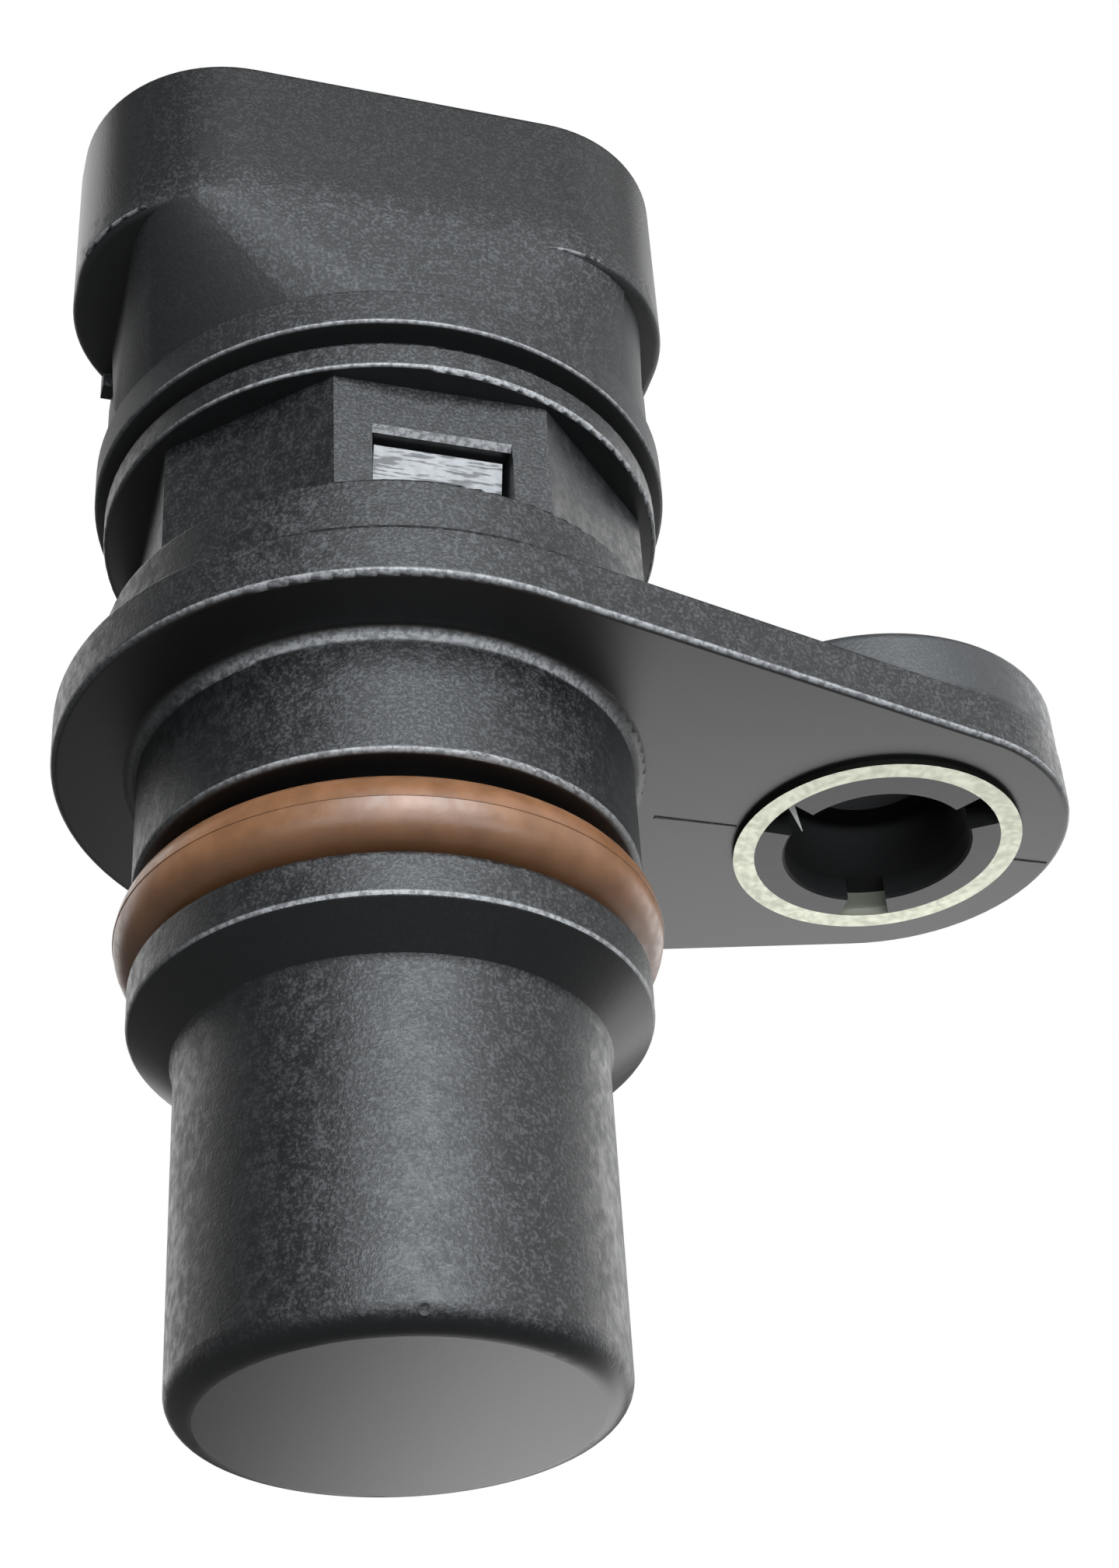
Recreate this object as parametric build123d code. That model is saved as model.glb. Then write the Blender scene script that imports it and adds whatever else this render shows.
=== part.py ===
from build123d import *
import os

os.makedirs("parts", exist_ok=True)

# Frame: +Z along the barrel towards the connector, +X to the bolt tab, z = 0 at the flange underside

# Barrel that goes into the engine bore
BARREL_R = 8.9
TIP_Z = -29.3
TIP_EDGE_R = 1.1
TIP_WALL = 0.9
LAND_R = 10.9
LEAD_IN_Z = -14.4
LAND_LOW_Z = -12.7
GROOVE_LOW_Z = -10.7
GROOVE_TOP_Z = -6.05
LAND_EDGE_R = 0.3
ROOT_R = 0.5
FLANGE_ROOT_R = 0.6
BARREL_BORE_R = 6.9

# Sealing ring in the barrel groove
ORING_SECTION_R = 1.75
ORING_OUTER_R = 11.55
ORING_Z = -8.65

# Flange, bolt tab and boss
FLANGE_R = 14.6
FLANGE_T = 2.6
TAB_X = 23.25
TAB_R = 8.95
BOSS_R = 8.9
BOSS_TOP = 5.6
FLANGE_EDGE_R = 0.3
BOSS_EDGE_R = 0.5
MERGE = 0.5

# Second tier, eight-sided neck and collar
TIER_R = 12.7
TIER_TOP = 6.7
NECK_APOTHEM = 11.5
NECK_SIDE_APOTHEM = 11.0
NECK_TOP = 12.95
COLLAR_R = 12.9
COLLAR_TOP = 14.4
COLLAR_EDGE_R = 0.2
HEAD_BORE_R = 9.5
HEAD_BORE_Z = 0.8

# Snap windows in the front and back faces of the neck
WINDOW_W = 6.2
WINDOW_LOW = 7.2
WINDOW_TOP = 10.25
WINDOW_BEVEL = 0.28

# Sleeve that carries the bolt load, and the liner that keeps the bolt captive
SLEEVE_R = 6.7
SLEEVE_BORE_R = 5.72
SLEEVE_LOW = -0.3
SLEEVE_TOP = BOSS_TOP + 0.1
SLEEVE_BEVEL = 0.2
BOLT_WAY_R = 4.3
GUIDE_R = 3.3
GUIDE_T = 1.2
LINER_TOP = SLEEVE_TOP - 0.3
SLOT_TOP = 1.0
PAD_SLOTS = (75, 195, 315)
PAD_SLOT_ANGLE = 24
LINER_BEVEL = 0.12

# Connector moulding: gap groove, band, round body
PLUG_R = 9.4
PLUG_LOW = 12.2
GAP_R = 12.0
BAND_LOW = 15.1
BAND_TOP = 17.1
BAND_R = 13.4
BODY_R = 13.0
SHROUD_LOW = 21.4
DECK_EDGE_R = 0.8

# Oval shroud around the blades, flush with the body at the front
SHROUD_TOP = 30.3
SHROUD_X = -1.65
SHROUD_Y = -5.65
SHROUD_W = 27.6
SHROUD_D = 14.8
SHROUD_END_FLAT = 1.1
SHROUD_CORNER = (SHROUD_D - SHROUD_END_FLAT) / 2
SHROUD_WALL = 1.7
SHROUD_EDGE_R = 0.35
SOCKET_FLOOR = 23.0
NOSE_W = 13.5
NOSE_D = 7.0
NOSE_END_FLAT = 0.1
NOSE_FLOOR = 18.4

# Blend from the round body to the shroud; angles are about the barrel axis, 0 at the bolt tab
BLEND_INSET = 0.03
BLEND_FOOT_R = BODY_R + 0.02
BLEND_FOOT_ANGLES = (-154, -128, -116, -68, -25)
BLEND_LEFT_ANGLE = -163
BLEND_PROUD = 0.2
BLEND_BULGE = 0.75
BLEND_TURN_ANGLE = -115
BLEND_RIGHT_X = 4.6
BLEND_RIGHT_R = 6.4

# Key ribs in the shroud, lock ramp behind it, gusset on the deck at the left end
KEY_W = 1.0
KEY_DEPTH = 0.8
KEY_X = 6.2
KEY_TOP = SHROUD_TOP - 0.8
LOCK_W = 7.0
LOCK_LOW = 24.6
LOCK_PEAK = 25.4
LOCK_TOP = 28.4
LOCK_REACH = 1.6
GUSSET_T = 0.9
GUSSET_Y = -0.4
GUSSET_REACH = 0.5
GUSSET_L = 2.0
GUSSET_TOP = 22.9

# Blades, their legs and the circuit board
BLADE_PITCH = 4.5
BLADE_W = 1.5
BLADE_T = 0.8
BLADE_TOP = 26.0
BLADE_BEVEL = 0.25
JOG_Z = 16.0
LEG_PITCH = 3.0
LEG_W = 0.8
LEG_T = 0.6
LEG_LOW = -6.5
BOARD_W = 10.0
BOARD_T = 1.0
BOARD_LOW = -17.5
BOARD_TOP = -2.5
STEM_FLAT_Y = -0.6
BOARD_FRONT_Y = STEM_FLAT_Y - BOARD_T
PEG_X = 3.8
PEG_Z = -14.5
PEG_R = 0.55
PEG_CLEAR = 0.05

# Small parts on the board: place, then width, height and thickness
CAPACITOR_X = 2.2
CAPACITOR_Z = -9.6
CAPACITOR = (1.25, 2.0, 0.9)
RESISTOR_Z = -12.6
RESISTOR = (1.6, 0.8, 0.5)
BOARD_PART_BEVEL = 0.12

# Chip and its legs
CHIP_W = 5.0
CHIP_D = 4.0
CHIP_T = 1.5
CHIP_EDGE = 0.2
LEAD_PITCH = 1.27
LEAD_W = 0.4
LEAD_T = 0.3
LEAD_RUN_Y = -4.75
LEAD_BEND_Z = -18.6
LEAD_TOP = -16.0

# Carrier that holds board, magnet and chip
CARRIER_HEAD_R = 9.3
STEM_R = 6.7
CUP_TOP = -19.2
POCKET_R = 3.3
MAGNET_R = 3.25
POLE_LOW = TIP_Z + TIP_WALL + CHIP_T
POLE_T = 1.0
MAGNET_TOP = -20.2
CARRIER_CLEAR = 0.2
CARRIER_LOW = TIP_Z + TIP_WALL + CARRIER_CLEAR
CHANNEL_W = 4.0
CHANNEL_BACK_Y = -1.5
GUTTER_BACK_Y = -4.0
BARB_W = 5.7
BARB_LOW = 7.5
BARB_TOP = 10.0
BARB_REACH = 10.75
BARB_FOOT = 10.1
SEAL_LOW = 1.8
SEAL_TOP = 4.0
SEAL_SECTION_R = 0.95


def block(x0, x1, y0, y1, z0, z1):
    return Pos((x0 + x1) / 2, (y0 + y1) / 2, (z0 + z1) / 2) * Box(x1 - x0, y1 - y0, z1 - z0)


def disc(r, z0, z1, x=0, y=0):
    return Pos(x, y, (z0 + z1) / 2) * Cylinder(r, z1 - z0)


def rounded_prism(w, d, r, z0, z1, x, y):
    return Pos(x, y, z0) * extrude(RectangleRounded(w, d, r), z1 - z0)


def edges_at(solid, z, r=None, x=0):
    """Edges lying in the plane z, only the round ones of radius r about (x, 0) if r is given."""
    flat = solid.edges().filter_by_position(Axis.Z, z - 0.001, z + 0.001)
    if r is None:
        return flat
    circles = flat.filter_by(GeomType.CIRCLE)
    return [e for e in circles if abs(e.radius - r) < 0.001 and abs(e.arc_center.X - x) < 0.001]


# Housing

def tab_outline():
    """Round flange drawn out to the bolt tab by its two common tangents."""
    rims = CenterArc((0, 0), FLANGE_R, 0, 360).edges() + CenterArc((TAB_X, 0), TAB_R, 0, 360).edges()
    return make_hull(rims)


def neck_outline():
    """Eight-sided neck with its two side faces a little closer in."""
    reach = NECK_APOTHEM * 2 ** 0.5
    side_y = reach - NECK_SIDE_APOTHEM
    front_x = reach - NECK_APOTHEM
    quarter = [(NECK_SIDE_APOTHEM, side_y), (front_x, NECK_APOTHEM)]
    left = [(-x, y) for x, y in reversed(quarter)]
    low = [(-x, -y) for x, y in quarter] + [(x, -y) for x, y in reversed(quarter)]
    return Polygon(*quarter, *left, *low, align=None)


def barrel():
    """Barrel turned in one profile: tip, lead-in cone, two lands and the groove between them."""
    groove_r = ORING_OUTER_R - 2 * ORING_SECTION_R
    profile = Polygon(
        (0, TIP_Z), (BARREL_R, TIP_Z), (BARREL_R, LEAD_IN_Z), (LAND_R, LAND_LOW_Z), (LAND_R, GROOVE_LOW_Z),
        (groove_r, GROOVE_LOW_Z), (groove_r, GROOVE_TOP_Z), (LAND_R, GROOVE_TOP_Z), (LAND_R, 0), (0, 0),
        align=None,
    )
    solid = revolve(Plane.XZ * profile, Axis.Z)
    solid = fillet(edges_at(solid, TIP_Z), TIP_EDGE_R)
    solid = fillet(edges_at(solid, LEAD_IN_Z), ROOT_R)
    for z in (LAND_LOW_Z, GROOVE_LOW_Z, GROOVE_TOP_Z):
        solid = fillet(edges_at(solid, z, LAND_R), LAND_EDGE_R)
    return solid


def flange():
    plate = extrude(tab_outline(), FLANGE_T)
    plate = fillet(edges_at(plate, 0) + edges_at(plate, FLANGE_T), FLANGE_EDGE_R)
    boss = disc(BOSS_R, FLANGE_EDGE_R, BOSS_TOP, TAB_X)
    boss = fillet(edges_at(boss, BOSS_TOP), BOSS_EDGE_R)
    return plate + boss


def window(side):
    """Opening for one snap barb, with a bevel along its upper outside edge."""
    y_out = side * (NECK_APOTHEM + 1)
    y_in = side * (HEAD_BORE_R - 1.5)
    hole = block(-WINDOW_W / 2, WINDOW_W / 2, min(y_in, y_out), max(y_in, y_out), WINDOW_LOW, WINDOW_TOP)
    face_y = side * NECK_APOTHEM
    bevel = Polygon(
        (face_y - side * WINDOW_BEVEL, WINDOW_TOP - 0.01), (face_y + side * 0.5, WINDOW_TOP - 0.01),
        (face_y + side * 0.5, WINDOW_TOP + WINDOW_BEVEL + 0.5), align=None,
    )
    return hole + extrude(Plane.YZ * bevel, WINDOW_W / 2, both=True)


def housing():
    solid = barrel() + flange()
    solid = fillet(edges_at(solid, 0, LAND_R), FLANGE_ROOT_R)
    tier = disc(TIER_R, FLANGE_T - MERGE, TIER_TOP)
    collar = disc(COLLAR_R, NECK_TOP, COLLAR_TOP)
    solid += fillet(edges_at(tier, TIER_TOP), COLLAR_EDGE_R)
    solid += Pos(0, 0, TIER_TOP - MERGE) * extrude(neck_outline(), NECK_TOP - TIER_TOP + MERGE)
    solid += fillet(edges_at(collar, NECK_TOP) + edges_at(collar, COLLAR_TOP), COLLAR_EDGE_R)
    solid -= disc(BARREL_BORE_R, TIP_Z + TIP_WALL, COLLAR_TOP)
    solid -= disc(HEAD_BORE_R, HEAD_BORE_Z, COLLAR_TOP)
    solid -= disc(SLEEVE_R, SLEEVE_LOW - 1, SLEEVE_TOP + 1, TAB_X)
    for side in (-1, 1):
        solid -= window(side)
    return solid


# Bolt hole

def compression_limiter():
    """Steel sleeve, a little proud of the flange at both ends so that it takes the bolt load."""
    sleeve = disc(SLEEVE_R, SLEEVE_LOW, SLEEVE_TOP, TAB_X)
    sleeve -= disc(SLEEVE_BORE_R, SLEEVE_LOW - 1, SLEEVE_TOP + 1, TAB_X)
    return chamfer(edges_at(sleeve, SLEEVE_TOP, SLEEVE_BORE_R, TAB_X), SLEEVE_BEVEL)


def sector(middle, angle, z0, z1):
    """Wedge about the bolt axis, reaching just past the liner."""
    reach = SLEEVE_R + 2
    face = make_face(Polyline((0, 0), (reach, 0), Vector(reach, 0).rotate(Axis.Z, angle), (0, 0)))
    return Pos(TAB_X, 0, z0) * extrude(Rot(0, 0, middle - angle / 2) * face, z1 - z0)


def bolt_retainer():
    """Liner that holds the bolt captive: guide ring at its top, three pads at its foot with slots between."""
    liner = disc(SLEEVE_BORE_R, SLEEVE_LOW, LINER_TOP, TAB_X)
    liner -= disc(BOLT_WAY_R, SLEEVE_LOW - 1, LINER_TOP - GUIDE_T, TAB_X)
    liner -= disc(GUIDE_R, SLEEVE_LOW - 1, LINER_TOP + 1, TAB_X)
    liner = chamfer(edges_at(liner, SLEEVE_LOW, BOLT_WAY_R, TAB_X), LINER_BEVEL)
    for middle in PAD_SLOTS:
        liner -= sector(middle, PAD_SLOT_ANGLE, SLEEVE_LOW - 1, SLOT_TOP)
    return liner


# Rubber rings

def ring(outer_r, section_r, z):
    return Pos(0, 0, z) * Torus(outer_r - section_r, section_r)


# Terminals and chip legs

def terminal(slot):
    """Blade in the shroud, jog inside the connector body, leg down to the board."""
    leg_x = slot * LEG_PITCH
    blade_x = SHROUD_X + slot * BLADE_PITCH
    low, high = JOG_Z - LEG_W / 2, JOG_Z + LEG_W / 2
    y0, y1 = SHROUD_Y - BLADE_T / 2, SHROUD_Y + BLADE_T / 2
    blade = block(blade_x - BLADE_W / 2, blade_x + BLADE_W / 2, y0, y1, low, BLADE_TOP)
    blade = chamfer(edges_at(blade, BLADE_TOP), BLADE_BEVEL)
    leg = block(leg_x - LEG_W / 2, leg_x + LEG_W / 2, BOARD_FRONT_Y - LEG_T, BOARD_FRONT_Y, LEG_LOW, high)
    across = block(leg_x - LEG_W / 2, leg_x + LEG_W / 2, y0, BOARD_FRONT_Y, low, high)
    along = block(min(leg_x, blade_x) - LEG_W / 2, max(leg_x, blade_x) + LEG_W / 2, y0, y1, low, high)
    return blade + along + across + leg


def chip_lead(slot):
    """Leg of the chip: out through the cup wall, up the front, back to the board."""
    x0, x1 = slot * LEAD_PITCH - LEAD_W / 2, slot * LEAD_PITCH + LEAD_W / 2
    z0 = TIP_Z + TIP_WALL + CHIP_T / 2 - LEAD_T / 2
    out = block(x0, x1, LEAD_RUN_Y, -CHIP_D / 2, z0, z0 + LEAD_T)
    up = block(x0, x1, LEAD_RUN_Y, LEAD_RUN_Y + LEAD_T, z0, LEAD_BEND_Z + LEAD_T)
    back = block(x0, x1, LEAD_RUN_Y, BOARD_FRONT_Y, LEAD_BEND_Z, LEAD_BEND_Z + LEAD_T)
    foot = block(x0, x1, BOARD_FRONT_Y - LEAD_T, BOARD_FRONT_Y, LEAD_BEND_Z, LEAD_TOP)
    return out + up + back + foot


# Board and the small parts on it

def circuit_board():
    board = block(-BOARD_W / 2, BOARD_W / 2, BOARD_FRONT_Y, STEM_FLAT_Y, BOARD_LOW, BOARD_TOP)
    for x in (-PEG_X, PEG_X):
        board -= Pos(x, STEM_FLAT_Y, PEG_Z) * Rot(90, 0, 0) * Cylinder(PEG_R + PEG_CLEAR, 4 * BOARD_T)
    return board


def board_part(x, z, w, h, t):
    part = block(x - w / 2, x + w / 2, BOARD_FRONT_Y - t, BOARD_FRONT_Y, z - h / 2, z + h / 2)
    return chamfer(part.faces().sort_by(Axis.Y)[0].edges(), BOARD_PART_BEVEL)


# Carrier and what it holds at the tip

def barb(side):
    """Wedge that springs into a snap window, steep at the top where it locks."""
    root = HEAD_BORE_R - 2.5
    profile = Polygon(
        (side * root, BARB_LOW), (side * BARB_FOOT, BARB_LOW), (side * BARB_REACH, BARB_TOP),
        (side * root, BARB_TOP), align=None,
    )
    return extrude(Plane.YZ * profile, BARB_W / 2, both=True)


def carrier(terminals):
    seal_floor = HEAD_BORE_R - 2 * SEAL_SECTION_R
    solid = disc(CARRIER_HEAD_R, HEAD_BORE_Z, PLUG_LOW)
    solid -= disc(HEAD_BORE_R, SEAL_LOW, SEAL_TOP) - disc(seal_floor, SEAL_LOW - 1, SEAL_TOP + 1)
    stem = disc(STEM_R, CARRIER_LOW, HEAD_BORE_Z)
    stem -= block(-STEM_R, STEM_R, -STEM_R, STEM_FLAT_Y, CUP_TOP, HEAD_BORE_Z)
    stem -= disc(POCKET_R, CARRIER_LOW, MAGNET_TOP)
    stem -= block(-CHANNEL_W / 2, CHANNEL_W / 2, -STEM_R, CHANNEL_BACK_Y, CARRIER_LOW, MAGNET_TOP)
    stem -= block(-CHANNEL_W / 2, CHANNEL_W / 2, -STEM_R, GUTTER_BACK_Y, CARRIER_LOW, CUP_TOP)
    solid += stem
    for side in (-1, 1):
        solid += barb(side)
    for x in (-PEG_X, PEG_X):
        peg_y = STEM_FLAT_Y - BOARD_T / 2
        solid += Pos(x, peg_y, PEG_Z) * Rot(90, 0, 0) * Cylinder(PEG_R, BOARD_T)
    for piece in terminals:
        solid -= piece
    return solid


def hall_ic():
    z0 = TIP_Z + TIP_WALL
    chip = block(-CHIP_W / 2, CHIP_W / 2, -CHIP_D / 2, CHIP_D / 2, z0, z0 + CHIP_T)
    return chamfer(edges_at(chip, z0 + CHIP_T), CHIP_EDGE)


# Connector body

def round_body():
    """Round body, its upper edge rounded where the shroud doesn't stand on it."""
    body = disc(BODY_R, BAND_TOP - MERGE, SHROUD_LOW)
    corner = body - fillet(edges_at(body, SHROUD_LOW), DECK_EDGE_R)
    corner -= rounded_prism(SHROUD_W, SHROUD_D, SHROUD_CORNER, BAND_TOP, SHROUD_TOP, SHROUD_X, SHROUD_Y)
    return body - corner


def polar(r, angle, x=0, y=0):
    """Point at a distance and angle from (x, y)."""
    return Vector(x, y) + Vector(r, 0).rotate(Axis.Z, angle)


def blend_foot():
    """Outline of the blend where it leaves the round body."""
    marks = BLEND_FOOT_ANGLES
    arcs = [CenterArc((0, 0), BLEND_FOOT_R, a, b - a) for a, b in zip(marks, marks[1:])]
    return make_face([*arcs, Line(polar(BLEND_FOOT_R, marks[-1]), polar(BLEND_FOOT_R, marks[0]))])


def blend_head():
    """Outline of the blend under the shroud: flush with it in front, turning in at its left end."""
    front = SHROUD_Y - SHROUD_D / 2 + BLEND_INSET
    corner_r = SHROUD_CORNER - BLEND_INSET
    corner = (SHROUD_X - SHROUD_W / 2 + SHROUD_CORNER, front + corner_r)
    left = polar(BODY_R + BLEND_PROUD, BLEND_LEFT_ANGLE)
    angles = (BLEND_TURN_ANGLE, (BLEND_TURN_ANGLE - 90) / 2, -90)
    turn, middle, flat = (polar(corner_r, a, *corner) for a in angles)
    wall = (left + turn) * 0.5
    wall = wall + wall.normalized() * BLEND_BULGE
    right_y = front + BLEND_RIGHT_R
    start, bend, right = (polar(BLEND_RIGHT_R, a, BLEND_RIGHT_X, right_y) for a in (-90, -45, 0))
    return make_face([
        ThreePointArc(left, wall, turn), ThreePointArc(turn, middle, flat), Line(flat, start),
        ThreePointArc(start, bend, right), Line(right, left),
    ])


def body_blend():
    """Front of the round body spread into the foot of the oval shroud."""
    head = Pos(0, 0, SHROUD_LOW) * blend_head()
    blend = loft([Pos(0, 0, BAND_TOP - MERGE) * blend_foot(), head], ruled=True)
    return blend + extrude(head, SOCKET_FLOOR - MERGE - SHROUD_LOW)


def shroud():
    oval = rounded_prism(SHROUD_W, SHROUD_D, SHROUD_CORNER, SHROUD_LOW, SHROUD_TOP, SHROUD_X, SHROUD_Y)
    return fillet(edges_at(oval, SHROUD_LOW) + edges_at(oval, SHROUD_TOP), SHROUD_EDGE_R)


def lock_ramp():
    wall_y = SHROUD_Y + SHROUD_D / 2
    profile = Polygon(
        (wall_y - MERGE, LOCK_LOW), (wall_y + LOCK_REACH, LOCK_LOW), (wall_y + LOCK_REACH, LOCK_PEAK),
        (wall_y, LOCK_TOP), (wall_y - MERGE, LOCK_TOP), align=None,
    )
    return Pos(SHROUD_X, 0, 0) * extrude(Plane.YZ * profile, LOCK_W / 2, both=True)


def gusset():
    """Small rib at the left end that stiffens the step from the round deck to the shroud."""
    y0, y1 = GUSSET_Y - GUSSET_T / 2, GUSSET_Y + GUSSET_T / 2
    x0 = -BODY_R - GUSSET_REACH
    return block(x0, x0 + GUSSET_L, y0, y1, SHROUD_LOW - DECK_EDGE_R, GUSSET_TOP)


def socket():
    inner_w = SHROUD_W - 2 * SHROUD_WALL
    inner_d = SHROUD_D - 2 * SHROUD_WALL
    wide = rounded_prism(inner_w, inner_d, SHROUD_CORNER - SHROUD_WALL, SOCKET_FLOOR, SHROUD_TOP + 1,
                         SHROUD_X, SHROUD_Y)
    nose = rounded_prism(NOSE_W, NOSE_D, (NOSE_D - NOSE_END_FLAT) / 2, NOSE_FLOOR,
                         SOCKET_FLOOR + 1, SHROUD_X, SHROUD_Y)
    return wide + nose


def connector_body(terminals):
    solid = disc(PLUG_R, PLUG_LOW, COLLAR_TOP) + disc(GAP_R, COLLAR_TOP, BAND_LOW)
    band = disc(BAND_R, BAND_LOW, BAND_TOP)
    band = fillet(edges_at(band, BAND_LOW) + edges_at(band, BAND_TOP), COLLAR_EDGE_R)
    solid += band + round_body() + body_blend() + shroud() + lock_ramp()
    solid += gusset()
    solid -= socket()
    wall_y = SHROUD_Y - SHROUD_D / 2 + SHROUD_WALL
    for x in (SHROUD_X - KEY_X, SHROUD_X + KEY_X):
        x0, x1 = x - KEY_W / 2, x + KEY_W / 2
        solid += block(x0, x1, wall_y - MERGE, wall_y + KEY_DEPTH, SOCKET_FLOOR, KEY_TOP)
    for piece in terminals:
        solid -= piece
    return solid


terminals = {name: terminal(slot) for name, slot in (("supply", -1), ("ground", 0), ("signal", 1))}
pieces = {
    "housing": housing(),
    "connector_body": connector_body(terminals.values()),
    "compression_limiter": compression_limiter(),
    "bolt_retainer": bolt_retainer(),
    "o_ring": ring(ORING_OUTER_R, ORING_SECTION_R, ORING_Z),
    "carrier": carrier(terminals.values()),
    "carrier_seal": ring(HEAD_BORE_R, SEAL_SECTION_R, (SEAL_LOW + SEAL_TOP) / 2),
    "hall_ic": hall_ic(),
    "pole_piece": disc(MAGNET_R, POLE_LOW, POLE_LOW + POLE_T),
    "magnet": disc(MAGNET_R, POLE_LOW + POLE_T, MAGNET_TOP),
    "circuit_board": circuit_board(),
    "capacitor_supply": board_part(-CAPACITOR_X, CAPACITOR_Z, *CAPACITOR),
    "capacitor_output": board_part(CAPACITOR_X, CAPACITOR_Z, *CAPACITOR),
    "resistor_pullup": board_part(0, RESISTOR_Z, *RESISTOR),
}
for name, piece in terminals.items():
    pieces["terminal_" + name] = piece
for name, slot in (("supply", -1), ("ground", 0), ("signal", 1)):
    pieces["lead_" + name] = chip_lead(slot)

for name, piece in pieces.items():
    export_step(piece, f"parts/{name}.step")
    print(name, "volume", round(piece.volume, 2), "solids", len(piece.solids()))
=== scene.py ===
import math

import bmesh
import bpy
from bpy.props import FloatProperty, FloatVectorProperty, IntProperty, PointerProperty
from mathutils import Matrix, Vector


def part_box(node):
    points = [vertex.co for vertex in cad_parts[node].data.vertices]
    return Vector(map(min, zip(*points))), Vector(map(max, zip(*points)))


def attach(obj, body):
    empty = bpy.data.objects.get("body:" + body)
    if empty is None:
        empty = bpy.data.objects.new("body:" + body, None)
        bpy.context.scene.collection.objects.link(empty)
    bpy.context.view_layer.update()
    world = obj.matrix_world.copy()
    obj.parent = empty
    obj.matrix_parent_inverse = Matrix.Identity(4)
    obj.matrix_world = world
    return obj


bl_info = {
    "name": "Camshaft Sensor Finisher",
    "version": (1, 0, 0),
    "blender": (4, 5, 0),
    "location": "View3D > Sidebar > Sensor",
    "description": "Moulding details, finishes and studio for a camshaft position sensor",
    "category": "Object",
}

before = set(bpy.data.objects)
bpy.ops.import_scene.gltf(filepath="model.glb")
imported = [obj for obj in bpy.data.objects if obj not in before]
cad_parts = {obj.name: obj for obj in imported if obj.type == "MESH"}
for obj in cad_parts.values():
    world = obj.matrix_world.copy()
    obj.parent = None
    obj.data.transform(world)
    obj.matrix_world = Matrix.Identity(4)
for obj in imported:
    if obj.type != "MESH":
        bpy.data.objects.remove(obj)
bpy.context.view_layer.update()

MM = 0.001

# Places read from the frame: barrel and rubber ring share the part's Z axis, the bolt hole has its own
TIP_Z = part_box("housing")[0][2]
SEAL_LOW, SEAL_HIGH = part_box("o_ring")
SEAL_R = SEAL_HIGH[0]
SEAL_Z = (SEAL_LOW[2] + SEAL_HIGH[2]) / 2
SLEEVE_LOW, SLEEVE_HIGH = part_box("compression_limiter")
BOLT_X = (SLEEVE_LOW[0] + SLEEVE_HIGH[0]) / 2
SLEEVE_R = (SLEEVE_HIGH[0] - SLEEVE_LOW[0]) / 2
TAB_END_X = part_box("housing")[1][0]

# Tip of the barrel, with the broken gate: its direction from the axis, and how far down it faces
BARREL_R = 8.9 * MM
TIP_EDGE_R = 1.1 * MM
GATE_AROUND = (-1.16, -8.72, 0)
GATE_SLOPE = math.radians(62)

# Parting lines under the tab: where the inner one starts, and how far both stay off the sleeve and the end
PARTING_START_X = 12.4 * MM
PARTING_SLEEVE_GAP = 0.2 * MM
PARTING_END_GAP = 0.32 * MM

# Flash in the liner: its root and tip from the bolt's axis and the sleeve's lower face, its section
LINER_FLASH_ROOT = (-5.10 * MM, -2.30 * MM, 0.22 * MM)
LINER_FLASH_TIP = (-3.90 * MM, -0.55 * MM, 0.10 * MM)
LINER_FLASH_SECTION = (0.30 * MM, 0.10 * MM)
LINER_FLASH_TAPER = 0.15

# Round body, from the collar band up to the foot of the shroud
BAND_Z = 16.7 * MM
SHROUD_Z = 21.4 * MM
BODY_R = 13.08 * MM

# Skin that spreads the body into the shroud: sides, front and corner radii of its head, the planes where
# it is cut off, how far it goes on below its foot and above its head, and the steps of one rounding
FLARE_LEFT, FLARE_RIGHT, FLARE_FRONT = -13.35 * MM, 11.1 * MM, -13.11 * MM
FLARE_CORNERS = (3.95 * MM, 6.4 * MM)
FLARE_CUTS = (((0, -2.6 * MM, 0), (0, 1, 0)), ((9.0 * MM, 0, 0), (1, 0, 0)))
FLARE_FOOT, FLARE_HEAD = 0.1 * MM, 0.5 * MM
FLARE_STEPS = 40

# Burrs at the rounded front corners of the shroud: name, centre, first and last angle in degrees
BURR_R, BURR_Z = 6.86 * MM, 21.62 * MM
BURRS = (
    ("burr_shroud_left", (-8.6 * MM, -6.2 * MM), -131, -96),
    ("burr_shroud_right", (5.3 * MM, -6.2 * MM), -72, -48),
)
BURR_MIN_STEPS = 24

# Bands where a highlight is painted pale along the lower edges: lowest and highest Z, then largest distance from the
# axis
HOUSING_EDGES = (
    (-0.05 * MM, 0.34 * MM, 60 * MM), (-0.70 * MM, -0.05 * MM, 11.7 * MM), (12.9 * MM, 13.3 * MM, 13.2 * MM),
    (-6.1 * MM, -5.7 * MM, 11.2 * MM), (-12.75 * MM, -12.35 * MM, 11.2 * MM), (10.2 * MM, 10.6 * MM, 12.4 * MM),
)
CONNECTOR_EDGES = ((15.0 * MM, 15.5 * MM, 13.8 * MM),)
# Height above which the connector turns smoother and is painted darker, as shade
CONNECTOR_SMOOTH_SHADED_Z = 21.5 * MM

# Mesh building: sides of a thin bead, how near doubled vertices lie, how near a plane a vertex counts as on
# it, the part of a radius that a rounding takes so that two never meet, and the sharpest smooth edge
BEAD_SIDES = 8
WELD_GAP = 0.002 * MM
ON_PLANE = 0.001 * MM
ROUNDING_SHARE = 0.9999
SMOOTH_ANGLE = math.radians(35)


# Settings

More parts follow.
